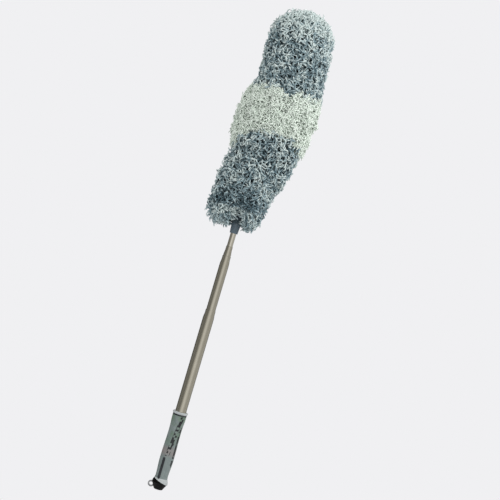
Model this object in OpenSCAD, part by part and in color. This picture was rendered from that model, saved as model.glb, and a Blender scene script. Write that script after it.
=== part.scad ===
// Telescopic duster: a steel pole of four tubes, a printed grip, and a bendable fluffy head.
// Z runs up the pole from the flat of the end cap. X is to the right as the brush is looked at.

/* [Pole] */
// Outside diameter of the outer tube
pole_d = 19; // [17:0.5:22]
// Wall of every tube
tube_wall = 0.5; // [0.4:0.05:0.6]
// Drop in outside diameter from one tube to the next
tube_step = 3; // [2.8:0.1:3.4]
// Length of the outer tube
outer_len = 305; // [280:5:340]
// Length of each of the three inner tubes
section_len = 304; // [280:5:310]
// How far the second tube stands out of the outer tube
show_2 = 96; // [60:1:200]
// How far the third tube stands out of the second
show_3 = 17; // [10:1:60]
// How far the tip tube stands out of the third, up to the ferrule
show_4 = 23; // [10:1:60]
// Length of the drawn-in mouth of a tube
mouth_len = 14; // [12:1:18]

/* [Bushes] */
// Height of a friction bush
bush_h = 14; // [10:1:18]
// Height of the spring band round a bush
spring_h = 6; // [4:0.5:8]
// Thickness of the spring band
spring_t = 0.3; // [0.2:0.05:0.35]
// Width of the split in a bush and in its spring band
split_w = 1.2; // [0.8:0.1:2]
// Depth to which a tail plug fills its tube
plug_depth = 6; // [4:0.5:8]

/* [Grip] */
// Length of the grip above the foot of the outer tube
grip_len = 125; // [110:1:160]
// Radius of the rim that flares over the end cap
flare_r = 13.6; // [13:0.1:15]
// Radius of the waist above the flare
waist_r = 10.6; // [10.4:0.1:11]
// Radius of the belly that fills the palm
belly_r = 12; // [11.4:0.1:13]
// Radius of the slim part under the forefinger
slim_r = 10.9; // [10.7:0.1:11.6]
// Radius at the top, under the collar
shoulder_r = 12; // [11.4:0.1:12.6]
// Radius of the collar ring
collar_r = 13.1; // [12.8:0.1:14]
// Height of the collar ring
collar_h = 3.2; // [2:0.2:5]
// Thickness of the printed sleeve on the grip
wrap_t = 0.5; // [0.3:0.05:0.6]
// Width of the dark soft inlay
inlay_w = 4.4; // [3:0.2:6]
// Length of the dark soft inlay
inlay_len = 38; // [25:1:60]

/* [End cap] */
// Height of the foot of the outer tube above the flat of the cap
cap_h = 12; // [12:0.5:15]
// Radius of the flat under the cap
cap_foot_r = 7.8; // [7:0.1:9]
// Length of the stem of the cap inside the tube
stem_len = 19; // [12:1:19]
// Slant of the seam between cap and grip
seam_tilt = 18.5; // [0:0.5:19]

/* [Hanging tab] */
// Radius of the hole that goes over a nail or hook
hang_hole_r = 3; // [2.5:0.1:3.2]
// Width of plastic round the hole
eye_wall = 2.4; // [1.8:0.1:2.5]
// Thickness of the tab
tab_t = 3; // [2.4:0.1:3.4]
// Radius of the cross pin
pin_r = 1.2; // [1:0.05:1.3]
// Distance from the pin to the middle of the hole
tab_reach = 8.1; // [7.8:0.1:8.4]

/* [Ferrule] */
// Length of the ferrule
ferrule_len = 36; // [32:1:44]
// Depth of the socket that takes the tip tube
socket_depth = 24; // [18:1:26]
// Radius at the mouth of the ferrule
ferrule_low_r = 7; // [6.8:0.1:7.6]
// Radius at the top of the ferrule
ferrule_top_r = 8.8; // [8.3:0.1:9.4]

/* [Core] */
// Radius of each of the two bendable wires
wire_r = 1.25; // [1:0.05:1.5]
// Distance of each wire from the middle of the core
wire_offset = 4; // [3:0.1:5]
// Radius of the foam over the wires
foam_r = 10.5; // [9.5:0.1:11]
// Length of the lower part of the head, from bend to bend
lower_len = 111; // [100:1:120]
// Length of the middle part of the head
middle_len = 108; // [100:1:120]
// Length of the wires in the upper part of the head
upper_len = 108; // [100:1:115]
// Lean of the lower part, towards the right
lean_lower = 4; // [-5:0.5:8]
// Lean of the middle part
lean_middle = 4.7; // [-5:0.1:8]
// Lean of the upper part
lean_upper = 0; // [-5:0.5:8]

/* [Pile] */
// Thickness of the cloth backing that carries the pile
backing_t = 1.5; // [1:0.1:2]
// Strands in one row round the backing
row_strands = 18; // [12:1:20]
// Half of the width of a strand at its fullest
strand_half = 3.4; // [2:0.1:4]
// Where a strand is fullest, as a share of its length
strand_full_at = 0.72; // [0.5:0.01:0.85]
// Degrees by which neighbouring strands are combed apart, one up and the next down
comb_apart = 8; // [0:0.5:9]
// Depth of the head from front to back, as a share of its width
head_depth = 0.95; // [0.7:0.01:1]

/* [Hidden] */
// Clearances
run_gap = 0.05;    // running fit, radial
press_gap = 0.02;  // pushed-in fit, radial
mouth_gap = 0.15;  // inner tube in a drawn-in mouth, radial
soft_gap = 0.4;    // between cloth, foam and what they surround
stop_gap = 0.3;    // end play beside a bush

// Radius of tube n, counted from the outer tube
function tube_r(n) = pole_d / 2 - (n - 1) * tube_step / 2;
function bore_r(n) = tube_r(n) - tube_wall;

// Heights along the pole
stem_top = cap_h + stem_len;
outer_top = cap_h + outer_len;
top_2 = outer_top + show_2;
top_3 = top_2 + show_3;
ferrule_z = top_3 + show_4;
top_4 = ferrule_z + socket_depth;
function tube_top(n) = n == 1 ? outer_top : n == 2 ? top_2 : n == 3 ? top_3 : top_4;
function tail_z(n) = tube_top(n) - section_len;
bead_r = 0.45;
function bush_z(n) = tail_z(n) + 2 * bead_r + stop_gap;
taper_len = mouth_len * 0.55;

// Grip stations, as height above the tube's foot and radius
grip_top = cap_h + grip_len;
wrap_z = cap_h + 8;
wrap_top = grip_top - collar_h - 0.8;
stations = [[0, flare_r], [11, waist_r], [grip_len * 0.32, belly_r],
            [grip_len * 0.74, slim_r], [grip_len - collar_h - 4, shoulder_r], [grip_len, shoulder_r]];
function ease(t) = (1 - cos(180 * t)) / 2;
function grip_r(z, k = 0) =
    let (a = stations[k], b = stations[k + 1], h = z - cap_h)
    h <= 0 ? flare_r
    : h <= b[0] || k == len(stations) - 2 ? a[1] + (b[1] - a[1]) * ease(min(1, (h - a[0]) / (b[0] - a[0])))
    : grip_r(z, k + 1);

// Seam between grip and cap: a slanted plane that crosses the axis at this height
seam_z = cap_h + 2.8;
seam_gap = 0.1;

// Hanging tab, folded to the left at rest
eye_r = hang_hole_r + eye_wall;
tab_angle = 15;
pin_x = -6.2;
pin_z = 4.2;
eye_x = pin_x - tab_reach * cos(tab_angle);
eye_z = pin_z + tab_reach * sin(tab_angle);
slot_gap = 0.2;
slot_right = pin_x + eye_r - 1.2;
slot_top = eye_z + eye_r + 0.5;
arm_w = 4.4;

// Head: three straight stretches of core between three bends
bend_gap = 3;
ferrule_top = ferrule_z + ferrule_len;
bend_1 = [0, 0, ferrule_top + bend_gap];
function along(p, lean, d) = [p[0] + d * sin(lean), 0, p[2] + d * cos(lean)];
bend_2 = along(bend_1, lean_lower, lower_len);
bend_3 = along(bend_2, lean_middle, middle_len);
knuckle_gap = 0.1;
tip_cap_r = foam_r;

// Outline of the fluff across the picture, as height above the ferrule's mouth and distance from the
// pole's axis
left_edge = [[10, -36], [18, -56], [57, -57], [92, -54], [128, -49], [138, -47], [152, -53], [180, -54],
             [247, -51], [259, -42], [307, -38], [330, -40], [356, -39], [372, -30]];
right_edge = [[10, 32], [20, 39], [57, 44], [92, 56], [137, 69], [160, 77], [220, 82], [247, 82],
              [259, 77], [307, 75], [340, 73], [360, 66], [372, 60]];
// Above the ferrule's mouth, the height from which the fluff rounds over, and its top
dome_h = 352;
crown_h = 399;
function left_at(z) = lookup(z - ferrule_z, left_edge);
function right_at(z) = lookup(z - ferrule_z, right_edge);

steel = "#b9bbb4";
nylon = "#e6e3da";
black = "#1b1b1d";
slate = "#5f6f7c";
grey_pile = "#7f9297";
white_pile = "#dfe4dc";

// Revolved band between two radii
module band(r_in, r_out, z, h) {
    translate([0, 0, z]) rotate_extrude($fn = 96)
        translate([r_in, 0]) square([r_out - r_in, h]);
}

// Everything under the slanted seam, lowered by a gap
module under_seam(gap) {
    reach = 2 * flare_r + 10;
    translate([0, 0, seam_z - gap]) rotate([0, seam_tilt, 0])
        translate([-reach, -reach, -4 * reach]) cube([2 * reach, 2 * reach, 4 * reach]);
}

// Outer surface shared by the cap's skirt and the grip's flare, from z_low to z_high
function flare_points(z_low, z_high, steps, inset = 0) =
    [for (i = [0:steps]) let (z = z_low + (z_high - z_low) * i / steps) [grip_r(z) - inset, z]];

module end_cap() {
    skirt_top = seam_z + flare_r * tan(seam_tilt) + 1;
    color(black) difference() {
        union() {
            intersection() {
                rotate_extrude($fn = 96) polygon(concat(
                    [[0, 0], [cap_foot_r - 0.8, 0], [cap_foot_r, 0.8], [flare_r - 0.6, cap_h - 1.4]],
                    flare_points(cap_h - 0.4, skirt_top, 10), [[0, skirt_top]]));
                under_seam(seam_gap);
            }
            translate([0, 0, cap_h / 2]) cylinder(r = bore_r(1) - press_gap, h = stem_top - cap_h / 2, $fn = 96);
        }
        band(bore_r(1) - press_gap, tube_r(1) + press_gap, cap_h, stem_len * 2);
        translate([0, 0, cap_h + 4]) cylinder(r = bore_r(1) - 2.4, h = stem_len, $fn = 64);
        translate([-3 * flare_r, -tab_t / 2 - slot_gap, -1])
            cube([3 * flare_r + slot_right, tab_t + 2 * slot_gap, slot_top + 1]);
        translate([pin_x, flare_r, pin_z]) rotate([90, 0, 0])
            cylinder(r = pin_r + press_gap, h = 2 * flare_r, $fn = 48);
    }
}

module hang_pin() {
    // the pin stops just under the cone of the cap at this height
    cone_r = cap_foot_r + (flare_r - 0.6 - cap_foot_r) * (pin_z - pin_r - 0.8) / (cap_h - 2.2);
    half = sqrt(pow(cone_r, 2) - pow(abs(pin_x) + pin_r, 2)) - 0.2;
    color(steel) translate([pin_x, half, pin_z]) rotate([90, 0, 0])
        cylinder(r = pin_r, h = 2 * half, $fn = 48);
}

module hang_tab() {
    color("#9b9d9e") difference() {
        translate([pin_x, tab_t / 2, pin_z]) rotate([90, 0, 0]) union() {
            cylinder(r = pin_r + 1.5, h = tab_t, $fn = 48);
            rotate([0, 0, 180 - tab_angle]) {
                translate([0, -arm_w / 2, 0]) cube([tab_reach, arm_w, tab_t]);
                translate([tab_reach, 0, 0]) cylinder(r = eye_r, h = tab_t, $fn = 64);
            }
        }
        for (hole = [[pin_x, pin_z, pin_r + run_gap], [eye_x, eye_z, hang_hole_r]])
            translate([hole[0], tab_t, hole[1]]) rotate([90, 0, 0])
                cylinder(r = hole[2], h = 2 * tab_t, $fn = 64);
    }
}

module grip() {
    // a light moulded sleeve with the collar and the flared rim in one piece
    color("#c9cecf") difference() {
        rotate_extrude($fn = 96) polygon(concat(
            [[tube_r(1) + press_gap, cap_h - 4]],
            flare_points(cap_h - 4, wrap_z, 8),
            flare_points(wrap_z, wrap_top, 40, wrap_t),
            [[grip_r(wrap_top), wrap_top], [grip_r(wrap_top), grip_top - collar_h],
             [collar_r - 0.6, grip_top - collar_h], [collar_r, grip_top - collar_h + 0.6],
             [collar_r, grip_top - 0.8], [collar_r - 0.8, grip_top], [tube_r(1) + press_gap, grip_top]]));
        under_seam(0);
        inlay_pocket(press_gap);
    }
}

module grip_wrap() {
    color("#7f8c94") difference() {
        rotate_extrude($fn = 96) polygon(concat(
            flare_points(wrap_z + 0.1, wrap_top - 0.1, 40),
            [for (i = [40:-1:0]) let (z = wrap_z + 0.1 + (wrap_top - wrap_z - 0.2) * i / 40)
                [grip_r(z) - wrap_t + press_gap, z]]));
        under_seam(0);
        inlay_pocket(press_gap);
    }
}

// Slot-shaped prism that the inlay fills, towards the front and a little to the left
inlay_x = -4.2;
inlay_z = cap_h + 7;
module inlay_pocket(gap) {
    w = inlay_w / 2 + gap;
    front = 2 * belly_r;
    translate([inlay_x, -tube_r(1) + 1, inlay_z]) rotate([90, 0, 0]) union() {
        for (z = [inlay_w / 2, inlay_len - inlay_w / 2])
            translate([0, z, 0]) cylinder(r = w, h = front, $fn = 48);
        translate([-w, inlay_w / 2, 0]) cube([2 * w, inlay_len - inlay_w, front]);
    }
}

module grip_inlay() {
    proud = 0.2;
    color("#2c3034") difference() {
        intersection() {
            inlay_pocket(0);
            rotate_extrude($fn = 96) polygon(concat(
                [[tube_r(1) + press_gap, inlay_z - 1]],
                flare_points(inlay_z - 1, inlay_z + inlay_len + 1, 20, -proud),
                [[tube_r(1) + press_gap, inlay_z + inlay_len + 1]]));
        }
        under_seam(0);
    }
}

// A drawn tube whose mouth closes in on the next tube, with two rolled beads that trap its bush
module drawn_tube(n, z_low, z_high, mouth, beads) {
    neck = mouth ? tube_r(n + 1) + mouth_gap : bore_r(n);
    shoulder = z_high - mouth_len;
    rotate_extrude($fn = 96) polygon([
        [bore_r(n), z_low], [tube_r(n), z_low], [tube_r(n), shoulder],
        [neck + tube_wall, shoulder + taper_len], [neck + tube_wall, z_high - 0.3],
        [neck + tube_wall - 0.3, z_high], [neck, z_high],
        [neck, shoulder + taper_len], [bore_r(n), shoulder]]);
    if (beads) for (z = [bush_z(n) - stop_gap - bead_r, bush_z(n) + bush_h + stop_gap + bead_r])
        translate([0, 0, z]) rotate_extrude($fn = 96)
            translate([tube_r(n) - 0.05, 0]) circle(r = bead_r, $fn = 32);
}

module outer_tube() color(steel) drawn_tube(1, cap_h, outer_top, true, false);
module tube_2() color(steel) drawn_tube(2, tail_z(2), top_2, true, true);
module tube_3() color(steel) drawn_tube(3, tail_z(3), top_3, true, true);
module tube_4() color(steel) drawn_tube(4, tail_z(4), top_4, false, true);

// Split nylon bush between tube n and the bore that it slides in
groove_r = spring_t + 0.02;
module friction_bush(n) {
    out = bore_r(n - 1) - run_gap;
    color(nylon) difference() {
        band(tube_r(n) + run_gap, out, bush_z(n), bush_h);
        band(out - groove_r, out + 1, bush_z(n) + (bush_h - spring_h) / 2 - 0.1, spring_h + 0.2);
        translate([0, -split_w / 2, bush_z(n) - 1]) cube([pole_d, split_w, bush_h + 2]);
    }
}
module friction_bush_2() friction_bush(2);
module friction_bush_3() friction_bush(3);
module friction_bush_4() friction_bush(4);

// Split spring band in the groove of the bush, which presses on the bore
module bush_spring(n) {
    out = bore_r(n - 1) - run_gap;
    color("#b08d4a") difference() {
        band(out - spring_t, out, bush_z(n) + (bush_h - spring_h) / 2, spring_h);
        rotate([0, 0, 90]) translate([0, -split_w / 2, bush_z(n) - 1]) cube([pole_d, split_w, bush_h + 2]);
    }
}
module bush_spring_2() bush_spring(2);
module bush_spring_3() bush_spring(3);
module bush_spring_4() bush_spring(4);

// Nylon plug that closes the tail of tube n
flange_t = 1.2;
module tail_plug(n) {
    color(nylon) rotate_extrude($fn = 96) polygon([
        [0, tail_z(n) - flange_t], [tube_r(n) - 0.4, tail_z(n) - flange_t],
        [tube_r(n), tail_z(n) - flange_t + 0.4], [tube_r(n), tail_z(n)],
        [bore_r(n) - press_gap, tail_z(n)], [bore_r(n) - press_gap, tail_z(n) + plug_depth - 0.5],
        [bore_r(n) - 0.5, tail_z(n) + plug_depth], [0, tail_z(n) + plug_depth]]);
}
module tail_plug_2() tail_plug(2);
module tail_plug_3() tail_plug(3);
module tail_plug_4() tail_plug(4);

elastic_r = 0.9;
elastic_sink = 0.1;
elastic_z = ferrule_z + 0.66 * ferrule_len;
function ferrule_r(z) = ferrule_low_r
    + (ferrule_top_r - ferrule_low_r) * min(1, max(0, (z - ferrule_z - 3) / (ferrule_len * 0.6)));

module ferrule() {
    color(slate) difference() {
        rotate_extrude($fn = 96) difference() {
            polygon(concat([[0, ferrule_z], [ferrule_low_r - 0.5, ferrule_z]],
                [[ferrule_low_r, ferrule_z + 0.5], [ferrule_low_r, ferrule_z + 3]],
                [for (i = [1:5]) let (z = ferrule_z + 3 + ferrule_len * 0.12 * i) [ferrule_r(z), z]],
                [[ferrule_top_r, ferrule_top - 2.5], [ferrule_top_r - 2.5, ferrule_top], [0, ferrule_top]]));
            translate([ferrule_r(elastic_z) - elastic_sink, elastic_z]) circle(r = elastic_r, $fn = 32);
        }
        translate([0, 0, ferrule_z - 1]) cylinder(r = tube_r(4) + run_gap, h = socket_depth + 1 + press_gap, $fn = 64);
        wire_holes(ferrule_z + socket_depth + 3, ferrule_top + 1);
    }
}

// Elastic in the hem of the cover, in the groove of the ferrule
module sleeve_elastic() {
    color("#39434a") rotate_extrude($fn = 96)
        translate([ferrule_r(elastic_z) - elastic_sink + press_gap, elastic_z])
            circle(r = elastic_r - press_gap, $fn = 32);
}

module wire_holes(z_low, z_high) {
    for (side = [-1, 1]) translate([0, side * wire_offset, z_low])
        cylinder(r = wire_r + press_gap, h = z_high - z_low, $fn = 32);
}

// Two wires between heights z_low and z_high of a stretch, with a ball at the top when it meets a bend
module wire_pair(z_low, z_high, ball) {
    color(steel) for (side = [-1, 1]) translate([0, side * wire_offset, z_low]) {
        cylinder(r = wire_r, h = z_high - z_low, $fn = 32);
        if (ball) translate([0, 0, z_high - z_low]) sphere(r = wire_r, $fn = 32);
    }
}

// Puts a child in the frame of a stretch of the head: its lower bend, and its lean
module on_stretch(bend, lean) translate(bend) rotate([0, lean, 0]) children();

wire_foot = wire_r + knuckle_gap;
module wires_root() wire_pair(ferrule_z + socket_depth + 3, bend_1[2], true);
module wires_lower() on_stretch(bend_1, lean_lower) wire_pair(wire_foot, lower_len, true);
module wires_middle() on_stretch(bend_2, lean_middle) wire_pair(wire_foot, middle_len, true);
module wires_upper() on_stretch(bend_3, lean_upper) wire_pair(wire_foot, upper_len, false);

// Foam over one stretch of the wires. Its ends keep clear of the next stretch, which leans another way
function clear_end(lean_a, lean_b) = foam_r * tan(abs(lean_a - lean_b) / 2) + soft_gap / 2;
module foam(length, low_end, high_end) {
    color("#d7d9d6") difference() {
        translate([0, 0, low_end]) cylinder(r = foam_r, h = length - low_end - high_end, $fn = 64);
        wire_holes(-1, length + 1);
    }
}
end_12 = clear_end(lean_lower, lean_middle);
end_23 = clear_end(lean_middle, lean_upper);
tip_cap_z = upper_len - 10;
tip_cap_side = 4;
module foam_lower() on_stretch(bend_1, lean_lower) foam(lower_len, clear_end(0, lean_lower), end_12);
module foam_middle() on_stretch(bend_2, lean_middle) foam(middle_len, end_12, end_23);
module foam_upper() on_stretch(bend_3, lean_upper) foam(upper_len, end_23, upper_len - tip_cap_z);

// Rounded cap that keeps the wire ends from poking through the cover
module wire_tip_cap() {
    color(nylon) on_stretch(bend_3, lean_upper) difference() {
        translate([0, 0, tip_cap_z]) rotate_extrude($fn = 64) polygon(concat(
            [[0, 0], [tip_cap_r, 0]],
            [for (a = [0:10:90]) [tip_cap_r * cos(a), tip_cap_side + tip_cap_r * sin(a)]]));
        wire_holes(-1, upper_len + press_gap);
    }
}

// The pile is one closed skin for each stretch: a cloth tube whose outer face is a grid of cells, and
// the strands are drawn out of every other cell of the rows that carry them
pile_r_in = foam_r + soft_gap;
pile_r = pile_r_in + backing_t;
cols = 2 * row_strands;
foot_h = 3;

// Distance from the core to the outline at a height, towards an azimuth
function tip_radius(az, z, x) =
    let (half = (right_at(z) - left_at(z)) / 2,
         side = cos(az) >= 0 ? right_at(z) - x : x - left_at(z))
    1 / sqrt(pow(cos(az) / side, 2) + pow(sin(az) / (half * head_depth), 2));

// A row is [height on the stretch, radius of the backing there, elevation of its strands]
function row_rings(row) = [[row[0] - foot_h / 2 * cos(row[2]), row[1] + foot_h / 2 * max(0, sin(row[2]))],
                           [row[0] + foot_h / 2 * cos(row[2]), row[1] - foot_h / 2 * max(0, sin(row[2]))]];

// How far a strand reaches from its foot: to the outline at its side, or to the dome over the top
function strand_len(row, az, bend, lean, share) =
    let (z = bend[2] + row[0] * cos(lean), x = bend[0] + row[0] * sin(lean),
         out = tip_radius(az, min(z, ferrule_z + dome_h), x),
         el = row[2],
         reach = el > 0
             ? 1 / sqrt(pow(cos(el) / out, 2) + pow(sin(el) / (ferrule_z + crown_h - z), 2))
             : out / cos(el),
         used = el > 0 ? row[1] * cos(el) : row[1] / cos(el))
    max(6, (reach - used) * share);

// Ring of four points where the strand is fullest, then its tip. sway turns it up or down off its row.
// No strand is as wide as its share of the way round, so it passes between those of the next row
function strand_points(row, col, bend, lean, share, sway) =
    let (az = (col + 0.5) * 360 / cols,
         el = row[2] + sway,
         out = [cos(el) * cos(az), cos(el) * sin(az), sin(el)],
         across = [-sin(az), cos(az), 0],
         up = [-sin(el) * cos(az), -sin(el) * sin(az), cos(el)],
         foot = [row[1] * cos(az), row[1] * sin(az), row[0]],
         length = strand_len(row, az, bend, lean, share),
         room = 2 * PI * (row[1] + length * strand_full_at * cos(row[2])) / row_strands,
         half = min(strand_half, 0.22 * room),
         full = foot + out * length * strand_full_at)
    [full - across * half - up * half, full + across * half - up * half,
     full + across * half + up * half, full - across * half + up * half, foot + out * length];

function carries(i, row_index, col) = i % 2 == 1 && (col + row_index) % 2 == 0;

// The lining is a straight tube. When the pile is closed, it rounds over the tip cap from lining_z on
module pile(rows, z_low, z_high, closed, bend, lean, seed, lining_z = 0) {
    shares = rands(0.9, 1, len(rows) * row_strands, seed);
    strays = rands(-1, 1, len(rows) * row_strands, seed + 50);
    rings = concat([[z_low, pile_r]], [for (row = rows) each row_rings(row)],
                   closed ? [] : [[z_high, pile_r]]);
    bands = len(rings) - 1;
    skin = [for (ring = rings) for (j = [0:cols - 1])
        [ring[1] * cos(j * 360 / cols), ring[1] * sin(j * 360 / cols), ring[0]]];
    strands = [for (k = [0:len(rows) - 1]) for (s = [0:row_strands - 1])
        let (n = k * row_strands + s,
             sway = (s % 2 == 0 ? comb_apart : -comb_apart) * pow(cos(rows[k][2]), 2) + strays[n])
        each strand_points(rows[k], 2 * s + k % 2, bend, lean, shares[n], sway)];
    inner_rings = concat([[z_low, pile_r_in]], closed
        ? [for (a = [0:22.5:67.5]) [lining_z + pile_r_in * sin(a), pile_r_in * cos(a)]]
        : [[z_high, pile_r_in]]);
    inner = [for (ring = inner_rings) for (j = [0:cols - 1])
        [ring[1] * cos(j * 360 / cols), ring[1] * sin(j * 360 / cols), ring[0]]];
    first_strand = len(skin);
    first_inner = first_strand + len(strands);
    crown = first_inner + len(inner);
    points = concat(skin, strands, inner, closed ? [[0, 0, z_high], [0, 0, lining_z + pile_r_in]] : []);
    plain = [for (i = [0:bands - 1]) for (j = [0:cols - 1])
        let (k = (i - 1) / 2, a = i * cols + j, b = i * cols + (j + 1) % cols, c = b + cols, d = a + cols)
        each (carries(i, floor(k), j) ? [] : [[a, c, b], [a, d, c]])];
    drawn = [for (k = [0:len(rows) - 1]) for (s = [0:row_strands - 1])
        let (i = 2 * k + 1, j = 2 * s + k % 2,
             base = [i * cols + j, i * cols + (j + 1) % cols,
                     (i + 1) * cols + (j + 1) % cols, (i + 1) * cols + j],
             q = first_strand + 5 * (k * row_strands + s))
        for (m = [0:3]) let (n = (m + 1) % 4)
            each [[base[m], q + n, base[n]], [base[m], q + m, q + n], [q + m, q + 4, q + n]]];
    low_hem = [for (j = [0:cols - 1]) let (n = (j + 1) % cols)
        each [[j, n, first_inner + n], [j, first_inner + n, first_inner + j]]];
    last = bands * cols;
    high = first_inner + (len(inner_rings) - 1) * cols;
    top = [for (j = [0:cols - 1]) let (n = (j + 1) % cols)
        each closed ? [[last + j, crown, last + n], [high + j, high + n, crown + 1]]
                    : [[last + j, high + n, last + n], [last + j, high + j, high + n]]];
    lining = [for (i = [0:len(inner_rings) - 2]) for (j = [0:cols - 1])
        let (a = first_inner + i * cols + j, b = first_inner + i * cols + (j + 1) % cols, c = b + cols, d = a + cols)
        each [[a, b, c], [a, c, d]]];
    on_stretch(bend, lean) polyhedron(points, concat(plain, drawn, low_hem, top, lining));
}

// Rows evenly spread between two heights, with their strands level
function level_rows(z_first, z_last, count) =
    [for (i = [0:count - 1]) [z_first + (z_last - z_first) * i / (count - 1), pile_r, 0]];
row_margin = 7;
hem_z = -18;
// Rows that hang over the ferrule: height above the hem, and elevation of their strands
hem_rows = [[3, -12], [15, -6]];
// Rows over the top: height above the foot of the tip cap, drop in radius, and elevation
dome_rows = [[-6, 0, 14], [9, 0, 34], [14, 4, 56], [16, 8, 76]];
module pile_lower() color(grey_pile)
    pile(concat([for (row = hem_rows) [hem_z + row[0], pile_r, row[1]]],
                level_rows(hem_z + 27, lower_len - row_margin, 8)),
         hem_z, lower_len - end_12, false, bend_1, lean_lower, 11);
module pile_middle() color(white_pile)
    pile(level_rows(row_margin, middle_len - row_margin, 8),
         end_12, middle_len - end_23, false, bend_2, lean_middle, 12);
module pile_upper() color(grey_pile)
    pile(concat(level_rows(row_margin, tip_cap_z - 19, 6),
                [for (row = dome_rows) [tip_cap_z + row[0], pile_r - row[1], row[2]]]),
         end_23, tip_cap_z + tip_cap_side + tip_cap_r + soft_gap + backing_t + 0.6, true,
         bend_3, lean_upper, 13, tip_cap_z + tip_cap_side);

end_cap();
hang_tab();
hang_pin();
outer_tube();
grip();
grip_wrap();
grip_inlay();
friction_bush_2();
bush_spring_2();
tail_plug_2();
tube_2();
friction_bush_3();
bush_spring_3();
tail_plug_3();
tube_3();
friction_bush_4();
bush_spring_4();
tail_plug_4();
tube_4();
ferrule();
sleeve_elastic();
wires_root();
wires_lower();
wires_middle();
wires_upper();
wire_tip_cap();
foam_lower();
foam_middle();
foam_upper();
pile_lower();
pile_middle();
pile_upper();
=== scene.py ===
import math
import random

import bmesh
import bpy
import numpy as np
from mathutils import Matrix, Vector, noise


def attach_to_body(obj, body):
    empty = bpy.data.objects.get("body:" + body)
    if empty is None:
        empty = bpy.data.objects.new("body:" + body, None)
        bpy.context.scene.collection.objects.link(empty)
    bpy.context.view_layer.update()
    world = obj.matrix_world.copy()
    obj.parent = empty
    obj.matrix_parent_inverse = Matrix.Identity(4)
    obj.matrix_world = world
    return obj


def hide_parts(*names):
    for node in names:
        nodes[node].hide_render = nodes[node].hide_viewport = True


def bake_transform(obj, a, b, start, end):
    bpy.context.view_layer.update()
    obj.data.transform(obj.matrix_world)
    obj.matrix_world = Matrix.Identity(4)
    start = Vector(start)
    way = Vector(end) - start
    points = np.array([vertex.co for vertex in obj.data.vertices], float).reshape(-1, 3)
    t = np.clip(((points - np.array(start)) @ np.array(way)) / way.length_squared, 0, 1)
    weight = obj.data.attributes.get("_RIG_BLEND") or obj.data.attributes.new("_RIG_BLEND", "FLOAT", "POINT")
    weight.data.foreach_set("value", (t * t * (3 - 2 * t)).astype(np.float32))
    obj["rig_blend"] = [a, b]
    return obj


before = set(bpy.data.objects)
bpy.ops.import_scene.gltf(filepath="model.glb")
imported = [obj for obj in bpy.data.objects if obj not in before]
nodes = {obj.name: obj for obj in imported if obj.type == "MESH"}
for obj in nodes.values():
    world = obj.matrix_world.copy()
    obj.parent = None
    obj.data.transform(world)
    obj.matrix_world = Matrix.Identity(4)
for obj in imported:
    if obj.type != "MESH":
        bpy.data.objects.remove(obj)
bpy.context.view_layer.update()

bpy.ops.object.select_all(action="DESELECT")


# ---- small helpers

def toLinear(hexColour):
    channels = [int(hexColour[i:i + 2], 16) / 255 for i in (1, 3, 5)]
    return (*[c / 12.92 if c <= 0.04045 else ((c + 0.055) / 1.055) ** 2.4 for c in channels], 1.0)


def feed(tree, node, links):
    # a source is an output, or a node whose first output is meant
    for name, source in dict(links).items():
        tree.links.new(getattr(source, "outputs", [source])[0], node.inputs[name])


def addNode(tree, kind, settings=(), links=()):
    node = tree.nodes.new(kind)
    for name, value in dict(settings).items():
        if isinstance(name, int) or name in node.inputs:
            node.inputs[name].default_value = value
        else:
            setattr(node, name, value)
    feed(tree, node, links)
    return node


def rampStops(ramp, stops):
    # stops are (place, hex colour) from left to right
    elements = ramp.color_ramp.elements
    while len(elements) < len(stops):
        elements.new(0.5)
    for element, (place, colour) in zip(elements, stops):
        element.position = place
        element.color = toLinear(colour)
    return ramp


def newMaterial(name, **shaderSettings):
    material = bpy.data.materials.new(name)
    material.use_nodes = True
    tree = material.node_tree
    shader = tree.nodes["Principled BSDF"]
    for socket, value in shaderSettings.items():
        shader.inputs[socket.replace("_", " ")].default_value = value
    return material, tree, shader


def newObject(name, data):
    piece = bpy.data.objects.new(name, data)
    bpy.context.scene.collection.objects.link(piece)
    return piece


def dress(material, names):
    for name in names:
        shape = nodes[name].data
        shape.materials.clear()
        shape.materials.append(material)


def selectOnly(piece):
    bpy.ops.object.select_all(action="DESELECT")
    piece.select_set(True)
    bpy.context.view_layer.objects.active = piece


def smoothByAngle(piece, degrees):
    selectOnly(piece)
    bpy.ops.object.shade_smooth_by_angle(angle=math.radians(degrees))


# ---- camera, lamps, floor

cameraSizes = {
    "lean": 16.5,                        # degrees that the pole leans to the right in the picture
    "target": (0.0349, 0.0, 0.434),      # middle of the picture, on the plane of the pole's axis
    "pictureWidth": 0.85,                # metres across the picture at that plane
    "lens": 90,
    "sensorWidth": 36,
}


def setCamera(sizes):
    lens = bpy.data.cameras.new("camera")
    lens.lens = sizes["lens"]
    lens.sensor_width = sizes["sensorWidth"]
    camera = newObject("camera", lens)
    distance = sizes["pictureWidth"] * sizes["lens"] / sizes["sensorWidth"]
    lean = math.radians(sizes["lean"])
    right = Vector((math.cos(lean), 0, math.sin(lean)))
    up = Vector((-math.sin(lean), 0, math.cos(lean)))
    back = Vector((0, -1, 0))
    place = Vector(sizes["target"]) + back * distance
    rows = [(right[i], up[i], back[i], place[i]) for i in range(3)]
    camera.matrix_world = Matrix([*rows, (0, 0, 0, 1)])
    bpy.context.scene.camera = camera
    bpy.context.scene.view_settings.view_transform = "Standard"


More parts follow.
